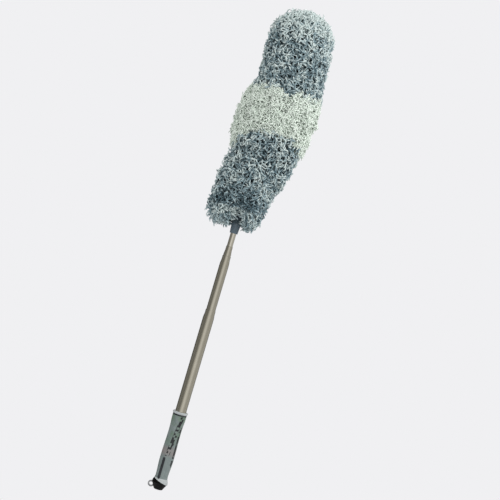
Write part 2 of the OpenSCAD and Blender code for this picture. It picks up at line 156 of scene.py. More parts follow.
studio = {
    "backdrop": "#f0f0f2",
    "paper": "#fafafb",
    "floorMiddle": (0.02, 0, -0.24),
    "floorRadius": 0.5,
    "floorSides": 96,
    "fill": 0.7,                 # even light from all round
    "lampAim": (0.02, 0, 0.45),
    "lamps": [                   # name, power in watts, place, width in metres
        ("keyLamp", 8.5, (0.75, -0.95, 1.35), 0.8),
        ("sideLamp", 3.6, (1.1, -0.3, 1.1), 1.0),
        ("leftLamp", 2.0, (-1.1, -0.5, 0.8), 1.0),
    ],
    # what metal mirrors: a dim wall to the left, bright ahead and to the right, darker behind
    "brightWay": (0.4, -0.125, 0.0),
    "room": [(0.0, "#9b9a94"), (0.1, "#8b8a84"), (0.28, "#7c7b76"), (0.42, "#a6a49e"),
             (0.56, "#e4e2dc"), (0.74, "#f4f3ef"), (0.9, "#c2c0ba"), (1.0, "#9c9a94")],
    "darkBehind": {"From Min": 0.1, "From Max": 0.8, "To Min": 1.0, "To Max": 0.3},
}


def setWorld(sizes):
    world = bpy.data.worlds.new("studio")
    bpy.context.scene.world = world
    world.use_nodes = True
    tree = world.node_tree
    tree.nodes.clear()
    path = addNode(tree, "ShaderNodeLightPath")
    way = addNode(tree, "ShaderNodeTexCoord").outputs["Generated"]
    split = addNode(tree, "ShaderNodeSeparateXYZ", links={0: way})
    facing = addNode(tree, "ShaderNodeVectorMath",
                     {"operation": "DOT_PRODUCT", 1: sizes["brightWay"]}, {0: way})
    side = addNode(tree, "ShaderNodeMath", {"operation": "ADD", 1: 0.5},
                   {0: facing.outputs["Value"]})
    room = rampStops(addNode(tree, "ShaderNodeValToRGB", links={"Fac": side}), sizes["room"])
    behind = addNode(tree, "ShaderNodeMapRange", sizes["darkBehind"], {"Value": split.outputs["Y"]})
    seen = addNode(tree, "ShaderNodeBackground",
                   {"Color": toLinear(sizes["backdrop"]), "Strength": 1.0})
    mirrored = addNode(tree, "ShaderNodeBackground", links={"Color": room, "Strength": behind})
    fill = addNode(tree, "ShaderNodeBackground", {"Color": (1, 1, 1, 1), "Strength": sizes["fill"]})
    glossy = addNode(tree, "ShaderNodeMixShader",
                     links={0: path.outputs["Is Glossy Ray"], 1: fill, 2: mirrored})
    shown = addNode(tree, "ShaderNodeMixShader",
                    links={0: path.outputs["Is Camera Ray"], 1: glossy, 2: seen})
    addNode(tree, "ShaderNodeOutputWorld", links={"Surface": shown})


def hangLamps(sizes):
    for name, power, place, width in sizes["lamps"]:
        lamp = bpy.data.lights.new(name, "AREA")
        lamp.energy = power
        lamp.size = width
        holder = newObject(name, lamp)
        holder.location = place
        way = Vector(sizes["lampAim"]) - Vector(place)
        holder.rotation_euler = way.to_track_quat("-Z", "Y").to_euler()
        holder.visible_glossy = False    # metal mirrors the room, not the lamps


def layFloor(sizes):
    bpy.ops.mesh.primitive_circle_add(vertices=sizes["floorSides"], radius=sizes["floorRadius"],
                                      fill_type="NGON", location=sizes["floorMiddle"])
    floor = bpy.context.object
    floor.name = "floor"
    # matt paper floor: it shows the shadow, and is as pale as the backdrop
    paper, _, shader = newMaterial("matteStudioPaper", Roughness=0.9)
    shader.inputs["Base Color"].default_value = toLinear(sizes["paper"])
    floor.data.materials.append(paper)


setCamera(cameraSizes)
setWorld(studio)
hangLamps(studio)
layFloor(studio)
print("camera and studio set")


# ---- hard materials

drawnSteel = {
    # warm grey mirror of the pole
    "polishedStainlessTube": {
        "tints": ("#c5c1b6", "#b8b4a8"), "roughness": 0.21,
        "pieces": ["outer_tube", "tube_2", "tube_3"]},
    # the tip tube, brighter than the rest
    "brightStainlessTip": {
        "tints": ("#dedad0", "#cfcbc0"), "roughness": 0.16, "pieces": ["tube_4"]},
    # a dull dark pin end in the side of the cap
    "blackenedSteelPin": {
        "tints": ("#4a4947", "#3a3937"), "roughness": 0.4, "pieces": ["hang_pin"]},
}


def drawnStainless(name, finish):
    # bright drawn steel: faint lines along the tube soften its highlight, smears tint it
    material, tree, shader = newMaterial(name, Metallic=1.0)
    place = addNode(tree, "ShaderNodeTexCoord").outputs["Object"]
    stretched = addNode(tree, "ShaderNodeMapping", {"Scale": (1.0, 1.0, 0.012)}, {"Vector": place})
    lines = addNode(tree, "ShaderNodeTexNoise", {"Scale": 2600.0, "Detail": 3.0},
                    {"Vector": stretched})
    smears = addNode(tree, "ShaderNodeTexNoise", {"Scale": 60.0, "Detail": 4.0}, {"Vector": place})
    bright, dull = [toLinear(tint) for tint in finish["tints"]]
    colour = addNode(tree, "ShaderNodeMix", {"data_type": "RGBA", 6: bright, 7: dull}, {0: smears})
    gloss = addNode(tree, "ShaderNodeMapRange",
                    {"To Min": finish["roughness"] - 0.05, "To Max": finish["roughness"] + 0.07},
                    {"Value": lines})
    bump = addNode(tree, "ShaderNodeBump", {"Strength": 0.06, "Distance": 0.0002},
                   {"Height": lines})
    feed(tree, shader, {"Base Color": colour.outputs[2], "Roughness": gloss, "Normal": bump})
    return material


# each finish: its colour and the darker one that clouds it, the size of its grain in metres,
# and how deep that grain looks
mouldedFinishes = {
    # pale satin of the grip and its collar
    "lightMouldedGrip": {
        "tints": ("#bdc2c2", "#a9afb0"), "roughness": 0.38, "grain": 0.0006, "relief": 0.12,
        "pieces": ["grip"]},
    # soft rubbery dark strip without a highlight
    "softDarkInlay": {
        "tints": ("#2b2f35", "#1f2226"), "roughness": 0.62, "grain": 0.0005, "relief": 0.3,
        "pieces": ["grip_inlay"]},
    # nearly pure black, with only a dim shine
    "blackMouldedCap": {
        "tints": ("#060607", "#030304"), "roughness": 0.5, "grain": 0.0007, "relief": 0.2,
        "mirror": 0.12, "pieces": ["end_cap"]},
    # mid grey satin of the tab
    "greyMouldedTab": {
        "tints": ("#999b9c", "#838587"), "roughness": 0.42, "grain": 0.0006, "relief": 0.15,
        "pieces": ["hang_tab"]},
    # blue-grey satin of the ferrule
    "slateMouldedFerrule": {
        "tints": ("#5f6e79", "#4d5b66"), "roughness": 0.4, "grain": 0.0006, "relief": 0.18,
        "pieces": ["ferrule"]},
    # waxy off-white of uncoloured nylon, for the pieces inside
    "naturalNylon": {
        "tints": ("#e4e0d4", "#d8d2c2"), "roughness": 0.4, "grain": 0.0005, "relief": 0.1,
        "pieces": ["friction_bush_2", "friction_bush_3", "friction_bush_4", "tail_plug_2",
                   "tail_plug_3", "tail_plug_4", "wire_tip_cap"]},
    # dark covered elastic, matt and coarse
    "coveredElastic": {
        "tints": ("#39434a", "#2b3339"), "roughness": 0.8, "grain": 0.0004, "relief": 0.6,
        "pieces": ["sleeve_elastic"]},
}


def mouldedPlastic(name, finish):
    # injection-moulded plastic: nearly even, with a fine spark-eroded grain that breaks the shine
    mirror = finish.get("mirror", 0.5)
    material, tree, shader = newMaterial(name, IOR=1.5, Specular_IOR_Level=mirror)
    place = addNode(tree, "ShaderNodeTexCoord").outputs["Object"]
    cloudy = addNode(tree, "ShaderNodeTexNoise", {"Scale": 45.0, "Detail": 3.0}, {"Vector": place})
    spark = addNode(tree, "ShaderNodeTexNoise", {"Scale": 1.0 / finish["grain"], "Detail": 2.0},
                    {"Vector": place})
    colour, darker = [toLinear(tint) for tint in finish["tints"]]
    tint = addNode(tree, "ShaderNodeMix", {"data_type": "RGBA", 6: colour, 7: darker}, {0: cloudy})
    gloss = addNode(tree, "ShaderNodeMapRange",
                    {"To Min": finish["roughness"] - 0.08, "To Max": finish["roughness"] + 0.08},
                    {"Value": cloudy})
    bump = addNode(tree, "ShaderNodeBump", {"Strength": finish["relief"], "Distance": 0.0003},
                   {"Height": spark})
    feed(tree, shader, {"Base Color": tint.outputs[2], "Roughness": gloss, "Normal": bump})
    return material


printSizes = {
    "ground": "#87928f",
    "shade": "#6b7779",
    "mark": "#12171d",
    "green": "#647a69",
    "red": "#a07f7c",
    # columns of small blocks: degrees from the right side, mm that they lean per mm up, width,
    # size of a block, lowest and highest mm up the pole, share of blocks printed
    "columns": [(76, 0.12, 7.6, (2.7, 3.6), 60, 130, 0.5),
                (33, 0.0, 5.0, (2.4, 3.0), 42, 112, 0.66)],
    "uprightAt": 95,         # mm up the pole, where a leaning column stands on its own degrees
    "columnEdge": 0.3,       # mm over which the side of a column fades
    "shadeLineMiddle": 131.75,    # mm up the pole: painted shade in the gap under the collar, round the top of the film
    "shadeLineHalf": 1.15,
    "gripRadius": 11.5,      # mm, turns degrees into mm along the skin
    "greenRise": {"From Min": 70.0, "From Max": 95.0},     # mm up the pole
    "greenPatches": {"From Min": 0.4, "From Max": 0.58, "To Max": 0.85},
    "redMiddle": 68.0,       # mm up the pole
    "redBelt": {"From Min": 2.0, "From Max": 11.0, "To Min": 0.6, "To Max": 0.0},
}


def printedSleeve(sizes):
    # glossy printed film on the grip: cool grey, columns of dark blocks and faint colour blooms
    material, tree, shader = newMaterial(
        "printedGlossFilm", IOR=1.5, Coat_Weight=0.2, Coat_Roughness=0.2)
    place = addNode(tree, "ShaderNodeTexCoord").outputs["Object"]
    mm = addNode(tree, "ShaderNodeVectorMath", {"operation": "SCALE", "Scale": 1000.0}, {0: place})
    split = addNode(tree, "ShaderNodeSeparateXYZ", links={0: mm})
    height = split.outputs["Z"]
    back = addNode(tree, "ShaderNodeMath", {"operation": "MULTIPLY", 1: -1.0},
                   {0: split.outputs["Y"]})
    angle = addNode(tree, "ShaderNodeMath", {"operation": "ARCTAN2"},
                    {0: back, 1: split.outputs["X"]})
    around = addNode(tree, "ShaderNodeMath", {"operation": "MULTIPLY", 1: sizes["gripRadius"]},
                     {0: angle})

    def column(degrees, lean, width, block, low, high, share):
        start = -lean * sizes["uprightAt"] - math.radians(degrees) * sizes["gripRadius"]
        leaning = addNode(tree, "ShaderNodeMath", {"operation": "MULTIPLY_ADD", 1: lean, 2: start},
                          {0: height})
        off = addNode(tree, "ShaderNodeMath", {"operation": "ADD"}, {0: around, 1: leaning})
        flat = addNode(tree, "ShaderNodeMath", {"operation": "ABSOLUTE"}, {0: off})
        inside = addNode(tree, "ShaderNodeMapRange",
                         {"From Min": width / 2 - sizes["columnEdge"], "From Max": width / 2,
                          "To Min": 1.0, "To Max": 0.0}, {"Value": flat})
        spot = addNode(tree, "ShaderNodeCombineXYZ", links={0: off, 1: height})
        cell = addNode(tree, "ShaderNodeVectorMath", {"operation": "SNAP", 1: (*block, 1.0)},
                       {0: spot})
        chance = addNode(tree, "ShaderNodeTexWhiteNoise", {"noise_dimensions": "2D"},
                         {"Vector": cell})
        printed = addNode(tree, "ShaderNodeMath", {"operation": "LESS_THAN", 1: share}, {0: chance})
        along = addNode(tree, "ShaderNodeMath",
                        {"operation": "COMPARE", 1: (low + high) / 2, 2: (high - low) / 2},
                        {0: height})
        ink = addNode(tree, "ShaderNodeMath", {"operation": "MULTIPLY"}, {0: inside, 1: printed})
        return addNode(tree, "ShaderNodeMath", {"operation": "MULTIPLY"}, {0: ink, 1: along})

    first, second = [column(*numbers) for numbers in sizes["columns"]]
    marks = addNode(tree, "ShaderNodeMath", {"operation": "MAXIMUM"}, {0: first, 1: second})
    # painted shade in the gap under the collar, in the colour of the print's marks
    line = addNode(tree, "ShaderNodeMath",
                   {"operation": "COMPARE", 1: sizes["shadeLineMiddle"], 2: sizes["shadeLineHalf"]},
                   {0: height})
    dark = addNode(tree, "ShaderNodeMath", {"operation": "MAXIMUM"}, {0: marks, 1: line})

    cloud = addNode(tree, "ShaderNodeTexNoise", {"Scale": 0.09, "Detail": 3.0}, {"Vector": mm})
    ground, shade = [toLinear(sizes[key]) for key in ("ground", "shade")]
    clouded = addNode(tree, "ShaderNodeMix", {"data_type": "RGBA", 6: ground, 7: shade}, {0: cloud})
    bloom = addNode(tree, "ShaderNodeTexNoise",
                    {"Scale": 0.07, "Detail": 2.0, "noise_dimensions": "4D", "W": 3.7},
                    {"Vector": mm})
    upper = addNode(tree, "ShaderNodeMapRange", sizes["greenRise"], {"Value": height})
    greenish = addNode(tree, "ShaderNodeMapRange", sizes["greenPatches"], {"Value": bloom})
    greenHere = addNode(tree, "ShaderNodeMath", {"operation": "MULTIPLY"}, {0: upper, 1: greenish})
    tinted = addNode(tree, "ShaderNodeMix", {"data_type": "RGBA", 7: toLinear(sizes["green"])},
                     {0: greenHere, 6: clouded.outputs[2]})
    toBelt = addNode(tree, "ShaderNodeMath", {"operation": "SUBTRACT", 1: sizes["redMiddle"]},
                     {0: height})
    offBelt = addNode(tree, "ShaderNodeMath", {"operation": "ABSOLUTE"}, {0: toBelt})
    belt = addNode(tree, "ShaderNodeMapRange", sizes["redBelt"], {"Value": offBelt})
    reddish = addNode(tree, "ShaderNodeMath", {"operation": "MULTIPLY"}, {0: belt, 1: cloud})
    warmed = addNode(tree, "ShaderNodeMix", {"data_type": "RGBA", 7: toLinear(sizes["red"])},
                     {0: reddish, 6: tinted.outputs[2]})
    inkedAndShaded = addNode(tree, "ShaderNodeMix", {"data_type": "RGBA", 7: toLinear(sizes["mark"])},
                    {0: dark, 6: warmed.outputs[2]})
    gloss = addNode(tree, "ShaderNodeMapRange", {"To Min": 0.28, "To Max": 0.44}, {"Value": cloud})
    bump = addNode(tree, "ShaderNodeBump", {"Strength": 0.1, "Distance": 0.0002}, {"Height": dark})
    feed(tree, shader, {"Base Color": inkedAndShaded.outputs[2], "Roughness": gloss, "Normal": bump})
    return material


def galvanisedWire():
    # zinc-coated soft wire: dull grey with faint spangle
    material, tree, shader = newMaterial("galvanisedWire", Metallic=1.0, Roughness=0.42)
    place = addNode(tree, "ShaderNodeTexCoord").outputs["Object"]
    spangle = addNode(tree, "ShaderNodeTexVoronoi", {"Scale": 500.0}, {"Vector": place})
    tint = rampStops(addNode(tree, "ShaderNodeValToRGB", links={"Fac": spangle}),
                     [(0.0, "#9a9c9e"), (1.0, "#75777a")])
    feed(tree, shader, {"Base Color": tint})
    return material


def springBrass():
    # thin rolled brass strip: yellow metal with rolling lines round it
    material, tree, shader = newMaterial("rolledSpringBrass", Metallic=1.0, Roughness=0.3)
    place = addNode(tree, "ShaderNodeTexCoord").outputs["Object"]
    rolled = addNode(tree, "ShaderNodeTexNoise", {"Scale": 900.0, "Detail": 2.0}, {"Vector": place})
    bright, dull = toLinear("#c9a25c"), toLinear("#a8803e")
    tint = addNode(tree, "ShaderNodeMix", {"data_type": "RGBA", 6: bright, 7: dull}, {0: rolled})
    feed(tree, shader, {"Base Color": tint.outputs[2]})
    return material


for name, finish in drawnSteel.items():
    dress(drawnStainless(name, finish), finish["pieces"])
for name, finish in mouldedFinishes.items():
    dress(mouldedPlastic(name, finish), finish["pieces"])
dress(printedSleeve(printSizes), ["grip_wrap"])
dress(springBrass(), ["bush_spring_2", "bush_spring_3", "bush_spring_4"])
dress(galvanisedWire(), ["wires_root", "wires_lower", "wires_middle", "wires_upper"])
print("hard parts dressed")


# ---- the head: where its core runs and how far its fluff reaches

core = {
    "bends": [(0.0, 0.492), (0.007743, 0.60273), (0.016592, 0.710366)],    # x and height of each
    "top": (0.016592, 0.8254),
    "runsOn": (0.4, 0.95),            # heights to which the core's line is drawn out
    "hem": 0.474,
    "sleeveRadius": 0.0124,
    "foamRadius": 0.0105,
    "ringGap": 0.004,                 # between the rings of the sleeve and the foam
    "sharpAngle": 60,                 # degrees from which their edges stay sharp
    # heights at which the soft pieces are parted, between the bends
    "partings": (0.547, 0.656, 0.764),
    # in each part: the two bodies that a soft piece bends between, and from which height to which
    "stretches": [("head_base", "head_lower", 0.470, 0.514),
                  ("head_lower", "head_middle", 0.578, 0.627),
                  ("head_middle", "head_upper", 0.685, 0.735), None],
}
whiteLow, whiteHigh = core["bends"][1][1], core["bends"][2][1]


def coreX(z):
    low, high = core["runsOn"]
    points = [(0.0, low), *core["bends"], core["top"], (core["top"][0], high)]
    return np.interp(z, [p[1] for p in points], [p[0] for p in points])


def attach(piece, bend):
    if bend:
        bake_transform(piece, bend[0], bend[1],
                 start=(coreX(bend[2]), 0, bend[2]), end=(coreX(bend[3]), 0, bend[3]))
    else:
        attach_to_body(piece, "head_upper")


fluff = {
    # both sides of the fluff from the ferrule to the crown: mm from the pole's axis, and height
    "left": [(-9, 487), (-18, 474), (-28, 465), (-40, 467), (-51, 476), (-56, 486), (-58, 500),
             (-56, 516), (-54, 536), (-52, 556), (-49, 574), (-43, 588), (-47, 600), (-53, 614),
             (-53, 636), (-54, 660), (-51, 678), (-48, 694), (-40, 706), (-37, 722), (-37, 748),
             (-38, 772), (-40, 788), (-40, 802), (-37, 813), (-31, 824), (-21, 835), (-6, 845),
             (11, 851)],
    "right": [(9, 485), (15, 472), (26, 465), (33, 470), (38, 478), (41, 488), (42, 500),
              (44, 516), (49, 534), (58, 552), (64, 570), (69, 588), (73, 602), (76, 616),
              (79, 636), (81, 660), (83, 684), (81, 704), (77, 718), (77, 734), (76, 752),
              (74, 772), (74, 790), (72, 808), (67, 821), (59, 832), (47, 842), (31, 849),
              (11, 851)],
    "depth": 0.95,          # front to back, as a share of the width
    "frontNotch": 36.0,     # mm that the ferrule shows up into the fluff, at the front and the back
    "notchTop": 0.53,       # height at which the notch has closed
    "notchFade": 0.06,      # metres under it over which the notch opens
    "notchSharpness": 5,
    "rings": 110,
    "spokes": 96,
}


def fluffSurface(sizes):
    # the outline turned into a closed surface of rings, returned as points [ring, spoke]
    sides = []
    for key in ("left", "right"):
        side = np.array(sizes[key], float) / 1000
        places = np.linspace(0, len(side) - 1, sizes["rings"])
        sides.append(np.stack([np.interp(places, range(len(side)), side[:, k]) for k in (0, 1)], 1))
    left, right = sides
    turn = np.linspace(0, 2 * math.pi, sizes["spokes"], endpoint=False)
    middle = (left + right) / 2
    half = (right - left) / 2
    x = middle[:, :1] + half[:, :1] * np.cos(turn)
    z = middle[:, 1:] + half[:, 1:] * np.cos(turn)
    y = np.abs(half[:, :1]) * sizes["depth"] * np.sin(turn)
    low = np.clip((sizes["notchTop"] - z) / sizes["notchFade"], 0, 1)
    ahead = np.abs(np.sin(turn)) ** sizes["notchSharpness"]
    z = z + sizes["frontNotch"] / 1000 * ahead * low ** 2 * (3 - 2 * low)
    return np.stack([x, y, z], -1)


# ---- one tuft of twisted yarn, grown strand by strand

tuftSizes = {
    "models": 12,
    "firstSeed": 100,
    "curls": 7,
    "curlLength": (0.013, 0.020),
    "thickness": 0.00145,       # radius of a curl at its foot
    "sides": 3,
    "firstRing": 1.15,          # each ring against the one below: the first, the last, the others
    "lastRing": 0.5,
    "taper": 0.92,
    "rings": 5,
    "spread": 46,               # degrees that a curl leans out of its tuft, at most
    "spreadVaries": (0.25, 1.0),
    "middleLean": 0.05,         # radians that the middle curl leans
    "unevenTurn": 0.3,          # how far curls stand off an even spacing round the tuft
    "hook": 28,                 # degrees that a curl turns from ring to ring
    "hookVaries": (0.5, 1.2),   # from curl to curl
    "ringVaries": (0.4, 1.5),   # and from ring to ring
    "sunk": 0.001,              # metres that the feet of the curls overlap in the fork
    "stemRadius": 0.0014,
    "stemFoot": -0.006,
    "stemLength": 0.008,
    "tallShare": 96,            # the height that this many percent of the points stay under
}


def topFace(tuft):
    shape = bmesh.from_edit_mesh(tuft.data)
    face = next(f for f in shape.faces if f.select)
    return face.calc_center_median(), face.normal.copy()


def markRing(tuft, values):
    shape = bmesh.from_edit_mesh(tuft.data)
    for name, value in values.items():
        layer = shape.verts.layers.float[name]
        for v in shape.verts:
            if v.select:
                v[layer] = value
    bmesh.update_edit_mesh(tuft.data)


def markCorners(tuft):
    shape = bmesh.from_edit_mesh(tuft.data)
    layer = shape.verts.layers.float["corner"]
    for number, v in enumerate([v for v in shape.verts if v.select]):
        v[layer] = number
    bmesh.update_edit_mesh(tuft.data)


def growCurl(tuft, number, start, heading, length, sizes, draw):
    rings = sizes["rings"]
    bpy.ops.mesh.select_all(action="DESELECT")
    bpy.ops.mesh.primitive_circle_add(vertices=sizes["sides"], radius=sizes["thickness"],
                                      fill_type="NGON", location=start,
                                      rotation=heading.to_track_quat("Z", "Y").to_euler())
    markCorners(tuft)
    markRing(tuft, {"along": 0.0, "strand": number})
    turns = [math.radians(draw.choice((-1, 1)) * sizes["hook"] * draw.uniform(*sizes["hookVaries"]))
             for _ in range(2)]
    for ring in range(1, rings + 1):
        _, normal = topFace(tuft)
        bpy.ops.mesh.extrude_region_move(TRANSFORM_OT_translate={"value": normal * length / rings})
        centre, _ = topFace(tuft)
        grow = {1: sizes["firstRing"], rings: sizes["lastRing"]}.get(ring, sizes["taper"])
        bpy.ops.transform.resize(value=(grow, grow, grow), center_override=centre)
        for axis, turn in zip("XY", turns):
            bpy.ops.transform.rotate(value=turn * draw.uniform(*sizes["ringVaries"]),
                                     orient_axis=axis, center_override=centre)
        markRing(tuft, {"along": ring / rings})


def growStem(tuft, sizes):
    # a short piece of yarn under the fork, whose foot is pulled to the cloth when it is planted
    bpy.ops.mesh.select_all(action="DESELECT")
    bpy.ops.mesh.primitive_circle_add(vertices=sizes["sides"], radius=sizes["stemRadius"],
                                      fill_type="NGON", location=(0, 0, sizes["stemFoot"]))
    markCorners(tuft)
    markRing(tuft, {"along": -1.0, "strand": 0.0})
    bpy.ops.mesh.extrude_region_move(TRANSFORM_OT_translate={"value": (0, 0, sizes["stemLength"])})
    markRing(tuft, {"along": 0.0})


def growTuft(number, sizes):
    draw = random.Random(sizes["firstSeed"] + number)
    bpy.ops.object.select_all(action="DESELECT")
    bpy.ops.object.add(type="MESH")
    tuft = bpy.context.object
    bpy.ops.object.mode_set(mode="EDIT")
    shape = bmesh.from_edit_mesh(tuft.data)
    for name in ("along", "strand", "corner"):
        shape.verts.layers.float.new(name)
    bmesh.update_edit_mesh(tuft.data)
    growStem(tuft, sizes)
    for k in range(sizes["curls"]):
        lean = sizes["middleLean"]
        if k:
            lean = math.radians(sizes["spread"] * draw.uniform(*sizes["spreadVaries"]))
        uneven = draw.uniform(-sizes["unevenTurn"], sizes["unevenTurn"])
        bearing = 2 * math.pi * (k + uneven) / sizes["curls"]
        heading = Vector((math.sin(lean) * math.cos(bearing), math.sin(lean) * math.sin(bearing),
                          math.cos(lean)))
        length = draw.uniform(*sizes["curlLength"])
        growCurl(tuft, k + 1, heading * -sizes["sunk"], heading, length, sizes, draw)
    bpy.ops.mesh.select_all(action="SELECT")
    bpy.ops.mesh.normals_make_consistent(inside=False)
    bpy.ops.object.mode_set(mode="OBJECT")
    return tuft


def readTuft(tuft, sizes):
    # the grown tuft as arrays, for planting; its own object goes
    mesh = tuft.data
    count = len(mesh.vertices)
    flat = np.zeros(count * 3)
    mesh.vertices.foreach_get("co", flat)
    model = {"points": flat.reshape(-1, 3)}
    for name in ("along", "strand", "corner"):
        values = np.zeros(count, np.float32)
        mesh.attributes[name].data.foreach_get("value", values)
        model[name] = values
    model["height"] = float(np.percentile(model["points"][:, 2], sizes["tallShare"]))
    faces = [tuple(p.vertices) for p in mesh.polygons]
    bpy.data.objects.remove(tuft)
    return mapFaces(model, faces)


def mapFaces(model, faces):
    # sorts a tuft's faces by their corners, and unrolls each strand onto its own cell of the map:
    # the cap of its foot, its sides from 0.04 up, and the cap of its tip over them
    sided = {4: [], 3: []}
    for face in faces:
        sided[len(face)].append(face)
    model["quads"], model["tris"] = np.array(sided[4]), np.array(sided[3])
    uv, cells = [], []
    for face in sided[4] + sided[3]:
        quad = len(face) == 4
        corner = model["corner"][list(face)].copy()
        height = model["along"][list(face)]
        if quad and corner.max() - corner.min() > 1.5:
            corner[corner < 0.5] = 3
        along = np.maximum(height, 0) if quad else np.array([0.97, 1.0, 0.97])
        if not quad and height[0] < 0.5:
            along = np.array([0.0, 0.03, 0.0])
        foot = height < -0.5
        if quad and foot.any():
            along = np.where(foot, 0.0, 1.0)
        uv.append(np.stack([corner / 3, 0.04 + 0.92 * along if quad else along], 1))
        cells.append(model["strand"][list(face)])
    model["uv"] = np.concatenate(uv)
    model["cells"] = np.concatenate(cells).astype(int)
    return model


tufts = [readTuft(growTuft(number, tuftSizes), tuftSizes) for number in range(tuftSizes["models"])]
print("tufts grown:", len(tufts), "with", len(tufts[0]["quads"]) + len(tufts[0]["tris"]), "faces")


# ---- planting the tufts on the cloth

planting = {
    # for each layer: share of the way out to the surface, gap between tufts in metres
    "layers": [(1.0, 0.0075), (0.85, 0.0084), (0.66, 0.0098)],
    "seed": 11,
    "triesPerSpot": 16,         # places tried for each spot that there is room for
    "greySize": 0.93,
    "whiteSize": 0.62,          # white tufts are smaller and stand closer
    "whiteGap": 0.5,
    "reach": (0.94, 1.01),      # each tuft's length against the outline
    "largestTuft": 0.8,         # a model's height against that length, at most
    "forkBack": 0.9,            # how far the fork stands back from the tip, in model heights
    "clumpSize": 0.016,         # tufts stand together in clumps, with hollows between them
    "clumpDepth": 0.12,         # the difference, as a share of the reach
    "tilt": 0.22,               # how far tufts lean off their own way out
    "frontTurn": 82,            # degrees from the right side to the middle of the front
    "brushedUp": 0.031,         # metres that the grey under the white is brushed up at the front
    "hangsDown": 0.014,         # and that the white band hangs down over it at the sides
    "overlap": 0.006,           # the grey above hangs over the white, most in a dip at the front
    "dip": 0.012,
    "dipSharpness": 50,
    "brushReach": 0.036,        # metres up and down over which that brushing fades
    "ragged": 0.0025,           # how uneven the edge between two colours is
    "endMargin": 0.002,         # metres that roots keep from the hem and the top
    "crownRound": 0.012,        # metres over which the sleeve rounds off at its top
    "rootDepth": 0.0005,        # metres that roots sit in the sleeve
    "shortestReach": 0.012,
    "cellFill": 0.86,           # share of its cell that a strand takes on the bake's map
    "cellMargin": 0.07,
}

# short dense pile under the white tufts, a lumpy skin that shows between them
underpile = {
    "out": 0.84,                # share of the way out to the surface
    "thickness": 0.006,
    "underGrey": 0.003,         # metres that it runs on under the grey
    "grainSize": 0.0016,
    "grainHeight": 0.0007,
    "seed": 6,
    "along": 0.6,               # the yarn's tone with its painted shade: as of a strand this far along and out
    "depth": 0.9,
}


def isWhite(z):
    return whiteLow < z < whiteHigh


def clumpAt(tip, sizes):
    # how much further out the tufts of a clump reach here, as a share
    return noise.noise(Vector(tip) / sizes["clumpSize"]) * sizes["clumpDepth"]


def rootHeight(tip, sizes):
    # how high the tuft whose tips are there comes out of the cloth
    turn = math.atan2(tip[1], tip[0] - coreX(tip[2]))
    front = max(0.0, math.cos(turn + math.radians(sizes["frontTurn"])))
    rise = front * (sizes["brushedUp"] + sizes["hangsDown"]) - sizes["hangsDown"]
    fall = sizes["overlap"] + sizes["dip"] * front ** sizes["dipSharpness"]
    near = [math.exp(-((tip[2] - height) / sizes["brushReach"]) ** 2)
            for height in (whiteLow + rise, whiteHigh - fall)]
    return tip[2] - rise * near[0] + fall * near[1]


def spotsOnSurface(surface, gap, sizes, draw):
    # evenly spread spots on the fluff's surface, each at least a gap from the next
    rings, spokes, _ = surface.shape
    ring, spoke = np.meshgrid(range(rings - 1), range(spokes), indexing="ij")
    corners = [surface[ring + a, (spoke + b) % spokes].reshape(-1, 3)
               for a, b in ((0, 0), (0, 1), (1, 1), (1, 0))]
    across = np.cross(corners[2] - corners[0], corners[3] - corners[1])
    area = np.linalg.norm(across, axis=1) / 2
    tries = int(area.sum() / gap ** 2 * sizes["triesPerSpot"])
    picks = draw.choice(len(area), size=tries, p=area / area.sum())
    a, b = draw.uniform(0, 1, (2, tries, 1))
    places = ((corners[0][picks] * (1 - a) + corners[1][picks] * a) * (1 - b)
              + (corners[3][picks] * (1 - a) + corners[2][picks] * a) * b)
    farAway = 9.0
    kept = np.full((tries, 3), farAway)
    count = 0
    for place in places:
        apart = gap * sizes["whiteGap"] if isWhite(rootHeight(place, sizes)) else gap
        if ((kept[:count] - place) ** 2).sum(1).min(initial=farAway) > apart * apart:
            kept[count] = place
            count += 1
    return kept[:count]


def plantTufts(surface, sizes):
    # every tuft with its points, its model, a shade for each curl, and the height of its root
    draw = np.random.default_rng(sizes["seed"])
    top = core["top"][1]
    planted = []
    for share, gap in sizes["layers"]:
        for tip in spotsOnSurface(surface, gap, sizes, draw):
            z = rootHeight(tip, sizes) + draw.normal(0, sizes["ragged"])
            z = min(max(z, core["hem"] + sizes["endMargin"]), top - sizes["endMargin"])
            if isWhite(z) and share < underpile["out"] - 0.01:
                continue
            rounded = math.sqrt(max(0.02, min(1.0, (top - z) / sizes["crownRound"])))
            radius = core["sleeveRadius"] * rounded - sizes["rootDepth"]
            turn = math.atan2(tip[1], tip[0] - coreX(tip[2]))
            root = np.array([coreX(z) + radius * math.cos(turn), radius * math.sin(turn), z])
            further = share * draw.uniform(*sizes["reach"]) + clumpAt(tip, sizes)
            reach = np.linalg.norm(tip - root) * further
            way = (tip - root) / np.linalg.norm(tip - root)
            model = tufts[draw.integers(len(tufts))]
            size = min(sizes["whiteSize"] if isWhite(z) else sizes["greySize"],
                       reach / model["height"] * sizes["largestTuft"])
            lean = way + draw.normal(0, sizes["tilt"], 3)
            spin = Matrix.Rotation(draw.uniform(0, 2 * math.pi), 3, "Z")
            turned = np.array(Vector(lean).to_track_quat("Z", "Y").to_matrix() @ spin)
            fork = root + way * (reach - model["height"] * size * sizes["forkBack"])
            foot = model["along"] < -0.5
            points = model["points"] @ turned.T * size + np.where(foot[:, None], root, fork)
            planted.append({"root": z, "points": points, "model": model,
                            "shades": draw.uniform(0, 1, 1 + tuftSizes["curls"])})
    return planted


